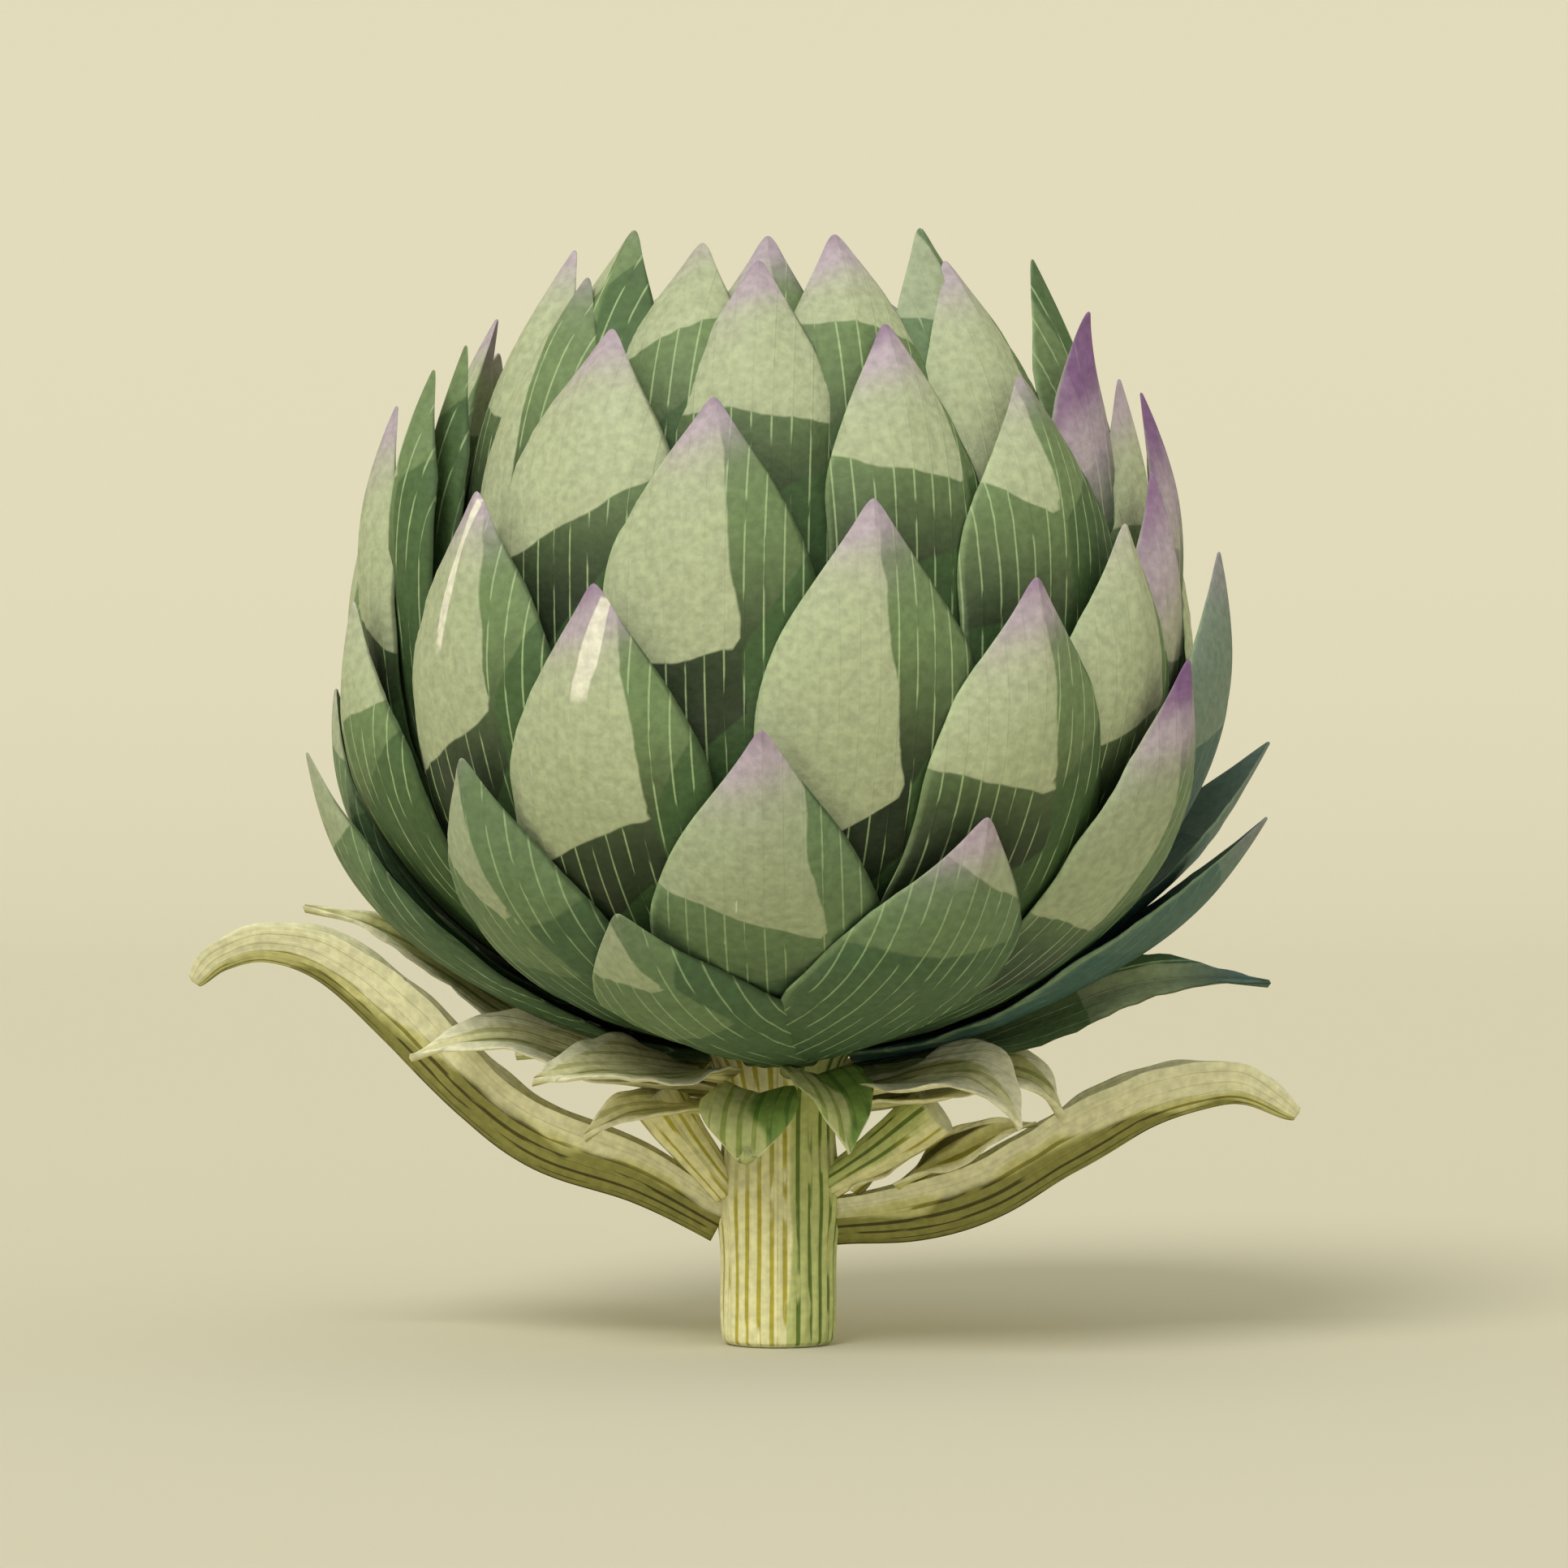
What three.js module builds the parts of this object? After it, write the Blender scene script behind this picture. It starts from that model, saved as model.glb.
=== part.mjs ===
// A globe artichoke, freshly cut, standing on the square-cut end of its stem. Millimetres, +Z up.
// The origin is the centre of the cut end. An azimuth of 0 degrees faces -Y, and 90 degrees faces +X.
//
// The bracts lie in layers like an onion's: layer 0 is the outermost, each further layer is LAYER_STEP
// nearer the axis, and layers under 0 hold the small collar leaves below the head. Each bract is a thin
// shell that starts on the heart, follows its layer upwards and ends in a point.
import * as THREE from "three";

// Stem and heart
const STEM_RADIUS = 7;
const CUT_BEVEL = 0.5;
const HEART_RADIUS = 29;
const HEART_TOP = 62;
const GAP = 0.3;

// Layers of bracts
const HEAD_RADIUS = 57;
const HEAD_WAIST = 88;
const HEAD_DEPTH = 53;
const HEAD_RISE = 72;
const LAYER_STEP = 2;
const BOTTOM_FULLNESS = 2.4;
const BUD_LAYER = 6.7;
const BUD_TOP = 137;

// Bracts
const BRACT_THICKNESS = 1.3;
const BRACT_HALF_WIDTH = 13.6;
const BRACT_TAPER = 26;
const TAPER_POWER = 1.15;
const BRACT_STATIONS = 8;
const WIDEST_SHARE = 0.36;
const FLARE_SHARE = 0.45;

// Collar leaves, long leaves and cut stalks
const COLLAR_THICKNESS = 1.2;
const COLLAR_STATIONS = 6;
const COLLAR_SHARE = 0.25;
const LONG_LEAF_STATIONS = 14;

const degrees = (angle) => (angle * Math.PI) / 180;

// Height of the heart's flank where its radius is `radius`, and the lathe profile that it belongs to.
const FLANK = [
  [STEM_RADIUS, 30],
  [8.2, 34.5],
  [10, 37],
  [16, 42],
  [22, 47],
  [26.5, 52],
  [HEART_RADIUS, 57],
];

function flankRadius(z) {
  for (let i = 1; i < FLANK.length; i++) {
    const [r0, z0] = FLANK[i - 1];
    const [r1, z1] = FLANK[i];
    if (z <= z1) return z < z0 ? r0 : r0 + ((r1 - r0) * (z - z0)) / (z1 - z0);
  }
  return HEART_RADIUS;
}

// A point (radius, height) of a layer. turn runs from -90 degrees at the bottom to 90 at the top.
// Above the waist a layer is an ellipse, and below it a fuller curve.
function layerPoint(layer, turn) {
  const inset = layer * LAYER_STEP;
  const up = Math.sin(turn);
  const height =
    up > 0
      ? (HEAD_RISE - inset) * up
      : -(HEAD_DEPTH - inset) * Math.pow(-up, 2 / BOTTOM_FULLNESS);
  return new THREE.Vector2((HEAD_RADIUS - inset) * Math.cos(turn), HEAD_WAIST + height);
}

// The stretch of a layer from the heart's flank up to where `ends(point)` is true.
function alongLayer(layer, ends) {
  const points = [];
  for (let turn = -89.5; turn < 90; turn += 0.5) {
    const point = layerPoint(layer, degrees(turn));
    const clear = point.x > flankRadius(point.y) + BRACT_THICKNESS + GAP;
    if (clear && ends(point)) break;
    if (clear) points.push(point);
  }
  return points;
}

// Points spaced evenly along a line of (radius, height) points.
function evenly(points, count) {
  return new THREE.SplineCurve(points).getSpacedPoints(count);
}

// Distance from each point to the line's end.
function distancesToTip(line) {
  const left = new Array(line.length).fill(0);
  for (let i = line.length - 2; i >= 0; i--) left[i] = left[i + 1] + line[i].distanceTo(line[i + 1]);
  return left;
}

// Outward normal of a (radius, height) line at point i.
function normalAt(line, i) {
  const along = line[Math.min(i + 1, line.length - 1)].clone().sub(line[Math.max(i - 1, 0)]).normalize();
  return new THREE.Vector2(along.y, -along.x);
}

// One closed shell. `line` holds (radius, height) points from base to tip, in the plane of `azimuth`.
// section(i, u, side) gives [sideways, out]: how far the point at u, from -1 to 1 across the leaf, on
// its outer (side 1) or inner (side -1) face lies from the line. With `hugs` sideways bends round the axis.
function shell({ line, azimuth, across, section, hugs }) {
  const last = line.length - 1;
  const positions = [];
  const place = (i, sideways, out) => {
    const normal = normalAt(line, i);
    const r = line[i].x + normal.x * out;
    const z = line[i].y + normal.y * out;
    const face = degrees(azimuth);
    const bend = hugs ? sideways / line[i].x : 0;
    const x = hugs ? r * Math.sin(face + bend) : r * Math.sin(face) + sideways * Math.cos(face);
    const y = hugs ? -r * Math.cos(face + bend) : -r * Math.cos(face) + sideways * Math.sin(face);
    positions.push(x, y, z);
  };
  for (let i = 0; i < last; i++) {
    for (let j = 0; j <= across; j++) place(i, ...section(i, -1 + (2 * j) / across, 1));
    for (let j = 1; j < across; j++) place(i, ...section(i, -1 + (2 * j) / across, -1));
  }
  place(last, 0, 0);

  const ring = 2 * across;
  const outer = (i, j) => i * ring + j;
  const inner = (i, j) => (j === 0 || j === across ? outer(i, j) : i * ring + across + j);
  const tip = last * ring;
  const triangles = [];
  const quad = (a, b, c, d) => {
    if (a !== b) triangles.push(a, b, c);
    if (c !== d) triangles.push(a, c, d);
  };
  for (let j = 0; j < across; j++) {
    for (let i = 0; i < last - 1; i++) {
      quad(outer(i, j), outer(i, j + 1), outer(i + 1, j + 1), outer(i + 1, j));
      quad(inner(i, j + 1), inner(i, j), inner(i + 1, j), inner(i + 1, j + 1));
    }
    triangles.push(outer(last - 1, j), outer(last - 1, j + 1), tip);
    triangles.push(inner(last - 1, j + 1), inner(last - 1, j), tip);
    quad(outer(0, j + 1), outer(0, j), inner(0, j), inner(0, j + 1));
  }
  return new THREE.BufferGeometry()
    .setAttribute("position", new THREE.Float32BufferAttribute(positions, 3))
    .setIndex(triangles);
}

function skin(color, roughness) {
  return new THREE.MeshStandardMaterial({ color, roughness, metalness: 0, flatShading: true });
}

const SKINS = {
  stem: skin("#b4b26a", 0.6),
  bract: skin("#8fa06c", 0.55),
  bud: skin("#a9b78b", 0.55),
  collar: skin("#a3a06b", 0.65),
  longLeaf: skin("#b6b27c", 0.65),
};

const artichoke = new THREE.Group();

function add(name, geometry, material) {
  geometry.computeVertexNormals();
  const mesh = new THREE.Mesh(geometry, material);
  mesh.name = name;
  artichoke.add(mesh);
}

// A solid of revolution about the Z axis from its (radius, height) profile.
function turned(profile) {
  return new THREE.LatheGeometry(profile, 24).rotateX(Math.PI / 2);
}

// The stem widens into the heart, which carries every bract: one piece, as it grew.
function stemAndHeart() {
  const profile = [
    [0, 0],
    [STEM_RADIUS - CUT_BEVEL, 0],
    [STEM_RADIUS, CUT_BEVEL],
    ...FLANK,
    [HEART_RADIUS - 1, HEART_TOP],
    [0, HEART_TOP],
  ].map(([r, z]) => new THREE.Vector2(r, z));
  return turned(profile);
}

// The closed bud of young bracts on top of the heart.
function innerBud() {
  const flank = [];
  for (let turn = -60; turn <= 34; turn += 10) {
    const point = layerPoint(BUD_LAYER, degrees(turn));
    if (point.y > HEART_TOP + GAP && point.y < BUD_TOP - 12) flank.push(point);
  }
  const foot = layerPoint(BUD_LAYER, degrees(-38));
  const profile = [
    new THREE.Vector2(0, HEART_TOP + GAP),
    new THREE.Vector2(foot.x - 3, HEART_TOP + GAP),
    ...flank,
    new THREE.Vector2(31, BUD_TOP - 6),
    new THREE.Vector2(25, BUD_TOP),
    new THREE.Vector2(0, BUD_TOP - 2),
  ];
  return turned(profile);
}

// A bract follows its layer from the heart to the height of its point. Past FLARE_SHARE of its length
// it bends `flare` outwards. Its sides run in to the point over BRACT_TAPER.
function bract({ azimuth, height, layer, flare }) {
  const line = evenly(
    alongLayer(layer, (point) => point.y > height),
    BRACT_STATIONS,
  );
  const left = distancesToTip(line);
  const length = left[0];
  line.forEach((point, i) => {
    const share = Math.max(0, (1 - left[i] / length - FLARE_SHARE) / (1 - FLARE_SHARE));
    point.x += flare * share * share;
  });
  const halfWidths = line.map((point, i) => {
    const taper = Math.pow(Math.sin((Math.min(1, left[i] / BRACT_TAPER) * Math.PI) / 2), TAPER_POWER);
    return Math.min(BRACT_HALF_WIDTH * taper, WIDEST_SHARE * point.x);
  });
  const section = (i, u, side) => [u * halfWidths[i], (side * BRACT_THICKNESS * (1 - u * u)) / 2];
  return shell({ line, azimuth, across: 4, section, hugs: true });
}

// [azimuth in degrees, height of the point, how far it bends outwards] for each bract of each layer.
const BRACTS = [
  [[-23, 56.5, 0], [27, 68, 0], [88, 66, 6], [138, 58, 2], [188, 62, 0], [232, 56, 1], [275, 74, 1]],
  [[-44, 74.5, 0], [-2, 78.5, 0], [60, 86, 1], [108, 74.5, 10], [150, 77, 1], [205, 75, 1], [262, 81, 0]],
  [[-24, 95.5, 0], [35, 95.7, 0], [78, 98.6, 1.5], [135, 94, 1], [180, 91, 0], [232, 93, 1], [286, 92.5, 0]],
  [[-46, 106, 0], [13, 105.5, 0], [55, 102, 0], [112, 104, 1], [160, 103, 0], [212, 105, 0], [262, 102.4, 0]],
  [[-10, 117.3, 0], [67, 108, 2], [130, 113, 0], [180, 114, 0], [228, 112, 0], [279, 116, 2]],
  [[-31, 125.3, 0], [45, 119.6, 0], [87, 117.3, 2], [150, 121, 0], [195, 119, 0], [240, 122, 0], [287, 120, 2.5]],
];

function bracts() {
  BRACTS.forEach((ring, layer) => {
    ring.forEach(([azimuth, height, flare], i) => {
      add(`bract_${layer + 1}_${i + 1}`, bract({ azimuth, height, layer, flare }), SKINS.bract);
    });
  });
}

// A collar leaf leaves the stem just below the head, follows its layer as far as `leaves`, and then
// goes straight or hangs towards `tip`, both given as (radius, height).
function collarLeaf({ azimuth, layer, leaves, bend, tip, halfWidth }) {
  const under = alongLayer(layer, (point) => point.x > leaves);
  const line = evenly(
    [under[0], under[Math.floor(under.length / 2)], under[under.length - 1], bend, tip].map((point) =>
      Array.isArray(point) ? new THREE.Vector2(...point) : point,
    ),
    COLLAR_STATIONS,
  );
  const left = distancesToTip(line);
  const halfWidths = line.map((point, i) => {
    const taper = Math.sin((Math.min(1, left[i] / (0.6 * left[0])) * Math.PI) / 2);
    return Math.min(halfWidth * taper, COLLAR_SHARE * point.x + 0.5);
  });
  const section = (i, u, side) => [u * halfWidths[i], (side * COLLAR_THICKNESS * (1 - u * u)) / 2];
  return shell({ line, azimuth, across: 4, section, hugs: true });
}

const COLLAR_LEAVES = [
  { azimuth: -100, layer: -1, leaves: 30, bend: [47, 50], tip: [60, 53.5], halfWidth: 6.5 },
  { azimuth: -80, layer: -2, leaves: 18, bend: [34, 38.5], tip: [46, 36], halfWidth: 7.5 },
  { azimuth: -48, layer: -1, leaves: 15, bend: [30, 35.5], tip: [40, 34.5], halfWidth: 7 },
  { azimuth: -62, layer: -3, leaves: 12, bend: [21, 29.5], tip: [27, 26.5], halfWidth: 4 },
  { azimuth: -12, layer: -2, leaves: 12, bend: [17.5, 29.5], tip: [19, 23], halfWidth: 6.5 },
  { azimuth: 24, layer: -1, leaves: 13, bend: [19, 31], tip: [21.5, 25], halfWidth: 5 },
  { azimuth: 58, layer: -2, leaves: 18, bend: [29, 34], tip: [35, 28], halfWidth: 8 },
  { azimuth: 82, layer: -3, leaves: 16, bend: [29.5, 34], tip: [35.5, 28.5], halfWidth: 6 },
  { azimuth: 93, layer: -1, leaves: 30, bend: [46, 45], tip: [61, 44.5], halfWidth: 7 },
  { azimuth: 128, layer: -2, leaves: 18, bend: [31, 35], tip: [41, 32], halfWidth: 7 },
  { azimuth: 163, layer: -1, leaves: 18, bend: [33, 38], tip: [45, 40], halfWidth: 7 },
  { azimuth: 198, layer: -2, leaves: 16, bend: [26, 33], tip: [33, 27], halfWidth: 7 },
  { azimuth: 229, layer: -3, leaves: 18, bend: [32, 34.5], tip: [44, 34], halfWidth: 7 },
];

function collar() {
  COLLAR_LEAVES.forEach((leaf, i) => {
    add(`collar_leaf_${i + 1}`, collarLeaf(leaf), SKINS.collar);
  });
}

// A long leaf or stalk: an oval section that runs along `points`. sizes(share) gives its half width and
// half depth at a share of its length.
function stalk({ azimuth, points, stations, sizes }) {
  const line = evenly(
    points.map((point) => new THREE.Vector2(...point)),
    stations,
  );
  const section = (i, u, side) => {
    const [halfWidth, halfDepth] = sizes(i / stations);
    const turn = (u * Math.PI) / 2;
    return [halfWidth * Math.sin(turn), side * halfDepth * Math.cos(turn)];
  };
  return shell({ line, azimuth, across: 6, section, hugs: false });
}

// Full and round beside the stem, and thinning to a flat tip.
function longLeafSizes(share) {
  const swell = 0.62 + 0.38 * Math.sin(Math.min(1, share / 0.3) * (Math.PI / 2));
  const fade = Math.pow(Math.max(0, 1 - Math.pow(share, 4)), 0.5);
  return [4 * swell * fade, 3.4 * swell * fade];
}

function cutStalkSizes(share) {
  return share > 0.99 ? [0, 0] : [2.9, 2.4];
}

function stemLeaves() {
  const left = [[8.3, 16.7], [17, 21.5], [29, 25.5], [37, 31], [46, 40], [55, 47.3], [63, 49.6], [69, 48], [72.5, 44.7]];
  const right = [[8.3, 16.2], [17, 17], [26, 19.5], [35, 24.6], [44, 29.7], [52, 32], [58, 32], [64.3, 28.6]];
  const leftCut = [[9.2, 22.8], [11.8, 25.8], [13.8, 28.2], [13.9, 28.4]];
  const rightCut = [[9.2, 21.8], [13.5, 24.6], [19, 28.3], [19.2, 28.4]];
  const long = { stations: LONG_LEAF_STATIONS, sizes: longLeafSizes };
  const cut = { stations: 3, sizes: cutStalkSizes };
  add("left_stem_leaf", stalk({ azimuth: -92, points: left, ...long }), SKINS.longLeaf);
  add("right_stem_leaf", stalk({ azimuth: 90, points: right, ...long }), SKINS.longLeaf);
  add("left_cut_stalk", stalk({ azimuth: -80, points: leftCut, ...cut }), SKINS.longLeaf);
  add("right_cut_stalk", stalk({ azimuth: 78, points: rightCut, ...cut }), SKINS.longLeaf);
}

add("stem_and_heart", stemAndHeart(), SKINS.stem);
add("inner_bud", innerBud(), SKINS.bud);
bracts();
collar();
stemLeaves();

export default artichoke;
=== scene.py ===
"""A globe artichoke: its stem, heart, bracts, collar leaves and two long stem leaves, on a pale studio
sweep. Shapes are worked out in millimetres and go into the meshes in metres. An azimuth of 0 degrees
faces -Y, the front, and 90 degrees faces +X."""

import math

import bpy
import numpy as np
from bpy.props import FloatProperty, FloatVectorProperty, PointerProperty
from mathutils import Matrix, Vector


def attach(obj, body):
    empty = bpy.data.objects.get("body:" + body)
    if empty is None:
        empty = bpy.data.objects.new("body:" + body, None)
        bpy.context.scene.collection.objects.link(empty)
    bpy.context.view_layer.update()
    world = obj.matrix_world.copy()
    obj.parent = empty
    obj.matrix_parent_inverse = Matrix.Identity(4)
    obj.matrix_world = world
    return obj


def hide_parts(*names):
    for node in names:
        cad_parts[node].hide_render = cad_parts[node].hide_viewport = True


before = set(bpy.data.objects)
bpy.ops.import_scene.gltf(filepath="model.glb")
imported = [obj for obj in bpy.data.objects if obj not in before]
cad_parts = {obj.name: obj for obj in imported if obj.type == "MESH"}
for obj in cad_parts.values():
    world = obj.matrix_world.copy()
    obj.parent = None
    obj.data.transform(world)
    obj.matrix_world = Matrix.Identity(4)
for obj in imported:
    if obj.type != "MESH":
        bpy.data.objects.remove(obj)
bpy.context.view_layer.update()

bl_info = {
    "name": "Globe Artichoke",
    "version": (1, 0, 0),
    "blender": (4, 5, 0),
    "location": "3D View > Sidebar > Artichoke",
    "description": "Builds a globe artichoke from layered bracts, collar leaves and a cut stem",
    "category": "Add Mesh",
}

MM = 0.001

# The layers that the bracts lie in, as in the solid model
HEAD_RADIUS, HEAD_WAIST, HEAD_DEPTH, HEAD_RISE = 57.0, 88.0, 53.0, 72.0
LAYER_STEP = 2.0
BOTTOM_POWER = 1.2
FLARE_SHARE = 0.45
FLANK = np.array([[7, 30], [8.2, 34.5], [10, 37], [16, 42], [22, 47], [26.5, 52], [29, 57], [29.5, 160]])

# How many parts a bract's surface has across it and along it
ACROSS, ALONG = 26, 52
# Veins of the bracts are this many millimetres apart.
VEIN_SPACING = 2.3
# A field that is this many millimetres outside its patch everywhere, so that the patch doesn't show
NOWHERE = -9.0
STEM_RIBS = 26
# The innermost bracts: how many, and how many degrees each is turned from the last
HEART_BRACTS, GOLDEN_ANGLE = 37, 137.5

# The stage, in metres: how wide the view is at the artichoke, the point that the camera aims at, and the
# radius of the curve where the floor turns up into the wall
VIEW_WIDTH, AIM, WALL_CURVE = 0.1932, (0.0007, 0, 0.0692), 0.6
LENS_MM, SENSOR_MM = 250, 36
# The light: how strong the sky and the sun are, how wide the sun looks, and the way that it shines
SKY_STRENGTH, SUN_STRENGTH, SUN_WIDTH = 0.68, 1.65, math.radians(25)
SUN_DIRECTION = (0.30, 0.62, -0.72)


def linear(hex_colour):
    """An sRGB hex colour as linear red, green, blue and alpha."""
    parts = [int(hex_colour[i : i + 2], 16) / 255 for i in (1, 3, 5)]
    return [c / 12.92 if c <= 0.04045 else ((c + 0.055) / 1.055) ** 2.4 for c in parts] + [1.0]


# ---------------------------------------------------------------- curves and surfaces


def smooth(x, low, high):
    """0 below low, 1 above high and a smooth S between them."""
    t = np.clip((x - low) / (high - low), 0, 1)
    return t * t * (3 - 2 * t)


def wander(x, seed):
    """A smooth wavy line of x, about 1 high: three sines whose phases come from the seed."""
    a, b, c = np.random.default_rng(seed).uniform(0, 6.28, 3)
    return 0.5 * np.sin(x + a) + 0.3 * np.sin(2.3 * x + b) + 0.2 * np.sin(4.1 * x + c)


def resample(line, shares):
    """Points at these shares of the length of a line of (radius, height) points."""
    steps = np.r_[0, np.cumsum(np.linalg.norm(np.diff(line, axis=0), axis=1))]
    return np.stack([np.interp(shares * steps[-1], steps, line[:, k]) for k in (0, 1)], axis=1), steps[-1]


def curve_through(points, count=200):
    """A Catmull-Rom curve through the points: on each span, a cubic whose end slopes are half the
    difference of the neighbouring points."""
    p = np.asarray(points, float)
    p = np.vstack([2 * p[0] - p[1], p, 2 * p[-1] - p[-2]])
    t = np.linspace(0, len(p) - 3 - 1e-6, count)
    i = t.astype(int)
    f = (t - i)[:, None]
    a, b, c, d = p[i], p[i + 1], p[i + 2], p[i + 3]
    return 0.5 * (2 * b + (c - a) * f + (2 * a - 5 * b + 4 * c - d) * f**2 + (3 * b - a - 3 * c + d) * f**3)


def layer_line(layer, height, flare, flare_share=FLARE_SHARE):
    """The line (radius, height) that a bract follows: r = a cos t and z = waist + b sin t above the waist,
    or waist - b |sin t|^(1/1.2) below it, from where it is clear of the heart up to the height of its tip.
    The last part bends outwards by flare, with the square of the way along."""
    inset = layer * LAYER_STEP
    over = height - HEAD_WAIST
    rise, depth = HEAD_RISE - inset, HEAD_DEPTH - inset
    up = over / rise if over > 0 else -((-over / depth) ** BOTTOM_POWER)
    turn = np.linspace(math.radians(-89.5), math.asin(min(up, 0.999)), 600)
    s = np.sin(turn)
    z = HEAD_WAIST + np.where(s > 0, rise * s, -depth * np.abs(s) ** (1 / BOTTOM_POWER))
    r = (HEAD_RADIUS - inset) * np.cos(turn)
    start = np.argmax(r > np.interp(z, FLANK[:, 1], FLANK[:, 0]) + 0.2)
    line = np.stack([r, z], axis=1)[start:]
    share = np.linspace(0, 1, len(line))
    line[:, 0] += flare * np.clip((share - flare_share) / (1 - flare_share), 0, None) ** 2
    return line


def ring_across(across):
    """The places u, from -1 to 1 and back, and the faces, 1 outer and -1 inner, round a thin section.
    They are closer together at the edges."""
    go = -np.cos(np.linspace(0, math.pi, across + 1))
    u = np.r_[go, go[-2:0:-1]]
    return u, np.r_[np.ones(across + 1), -np.ones(across - 1)]


def place(line, azimuth, sideways, out, hug):
    """Points whose lateral distance is `sideways` and whose distance along the line's normal is `out`.
    With hug 1 the lateral distance is an arc round the axis, and with hug 0 it is straight."""
    tangent = np.gradient(line, axis=0)
    tangent /= np.linalg.norm(tangent, axis=1)[:, None]
    r = line[:, :1] + tangent[:, 1:] * out
    z = line[:, 1:] - tangent[:, :1] * out
    bend = hug * sideways / np.maximum(line[:, :1], 4.0)
    straight = (1 - hug) * sideways
    face = math.radians(azimuth)
    x = r * np.sin(face + bend) + straight * math.cos(face)
    y = -r * np.cos(face + bend) + straight * math.sin(face)
    return np.stack([x, y, z * np.ones_like(x)], axis=2)


def skin(name, rings, tip, base, uv, fields):
    """A closed mesh of rings of points. It ends in the point `tip`, and it starts in the point `base`, or
    where that is None in a strip that joins the two faces of a thin section. The two parts of uv and each
    field give every ring point a value, and the tip has the last ring's."""
    n, m, _ = rings.shape
    verts = np.vstack([rings.reshape(-1, 3), tip[None]] + ([base[None]] if base is not None else []))
    i, j = np.meshgrid(np.arange(n - 1), np.arange(m), indexing="ij")
    k = (j + 1) % m
    quads = np.stack([i * m + j, i * m + k, (i + 1) * m + k, (i + 1) * m + j], axis=2).reshape(-1, 4)
    j = np.arange(m)
    k = (j + 1) % m
    end = (n - 1) * m
    tris = [np.stack([end + j, end + k, np.full(m, n * m)], axis=1)]
    if base is not None:
        tris.append(np.stack([k, j, np.full(m, n * m + 1)], axis=1))
        strip = np.empty((0, 4), int)
    else:
        j = np.arange(1, m // 2 - 1)
        strip = np.stack([j + 1, j, m - j, m - j - 1], axis=1)
        tris.append(np.array([[1, 0, m - 1], [m // 2 - 1, m // 2 + 1, m // 2]]))
    faces = [*quads.tolist(), *strip.tolist(), *np.vstack(tris).tolist()]
    mesh = bpy.data.meshes.new(name)
    mesh.from_pydata((verts * MM).tolist(), [], faces)
    mesh.polygons.foreach_set("use_smooth", np.ones(len(faces), bool))

    def per_vertex(values):
        flat = np.broadcast_to(values, (n, m)).ravel()
        return np.r_[flat, flat[end], flat[:1] if base is not None else []]

    corner = np.empty(len(mesh.loops), np.int32)
    mesh.loops.foreach_get("vertex_index", corner)
    pairs = np.stack([per_vertex(values) for values in uv], axis=1)
    mesh.uv_layers.new(name="skin_mm").data.foreach_set("uv", pairs[corner].astype(np.float32).ravel())
    for key, values in fields.items():
        data = mesh.attributes.new(key, "FLOAT", "POINT").data
        data.foreach_set("value", per_vertex(values).astype(np.float32))
    mesh.validate()
    mesh.update()
    piece = bpy.data.objects.new(name, mesh)
    bpy.context.scene.collection.objects.link(piece)
    return piece


def leaf_skin(name, rings, uv, fields):
    """The skin of a thin leaf, whose last ring shrinks to its tip."""
    grid = rings.shape[:2]
    uv = [np.broadcast_to(values, grid)[:-1] for values in uv]
    fields = {key: np.broadcast_to(values, grid)[:-1] for key, values in fields.items()}
    return skin(name, rings[:-1], rings[-1].mean(axis=0), None, uv, fields)


def finish(piece, material, slot, *nodes):
    """Gives a piece its material and its place in the model."""
    piece.data.materials.append(material)
    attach(piece, "root")
    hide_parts(*nodes)


# ---------------------------------------------------------------- materials

MATH, MIX, STEP, NOISE = "ShaderNodeMath", "ShaderNodeMix", "ShaderNodeMapRange", "ShaderNodeTexNoise"
VECTOR, ATTRIBUTE, BUMP = "ShaderNodeVectorMath", "ShaderNodeAttribute", "ShaderNodeBump"
CRISP = {"interpolation_type": "SMOOTHSTEP"}
COLOUR = {"data_type": "RGBA"}


def node(tree, kind, *inputs, **settings):
    """Adds a node with its settings, and fills its inputs in their order. An input is a number, a colour, an
    output of another node, another node, which stands for its first output, or None to leave it."""
    made = tree.nodes.new(kind)
    for key, value in settings.items():
        setattr(made, key, value)
    for socket, value in zip([s for s in made.inputs if s.enabled], inputs):
        if isinstance(value, bpy.types.Node):
            value = next(output for output in value.outputs if output.enabled)
        if isinstance(value, bpy.types.NodeSocket):
            tree.links.new(value, socket)
        elif value is not None:
            socket.default_value = value
    return made


def new_material(name):
    """An empty node material and its tree, with a shader wired to the output."""
    material = bpy.data.materials.new(name)
    material.use_nodes = True
    tree = material.node_tree
    tree.nodes.clear()
    shader = node(tree, "ShaderNodeBsdfPrincipled")
    node(tree, "ShaderNodeOutputMaterial", shader)
    return material, tree, shader


def finish_skin(tree, shader, colour, grain, line, relief, roughness):
    """The last part of every plant skin: a speckle of lighter and darker cells, the relief of its lines and
    cells, and a dull waxy surface."""
    speckle = node(tree, STEP, grain, 0.3, 0.7, 0.85, 1.12)
    raised = node(tree, MATH, line, relief, operation="MULTIPLY")
    height = node(tree, MATH, grain, 0.3, raised, operation="MULTIPLY_ADD")
    speckled = node(tree, VECTOR, colour, speckle, operation="MULTIPLY")
    bump = node(tree, BUMP, 0.5, 0.0008, None, height)
    tree.links.new(speckled.outputs[0], shader.inputs["Base Color"])
    tree.links.new(bump.outputs[0], shader.inputs["Normal"])
    shader.inputs["Roughness"].default_value = roughness
    shader.inputs["Specular IOR Level"].default_value = 0.3


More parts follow.
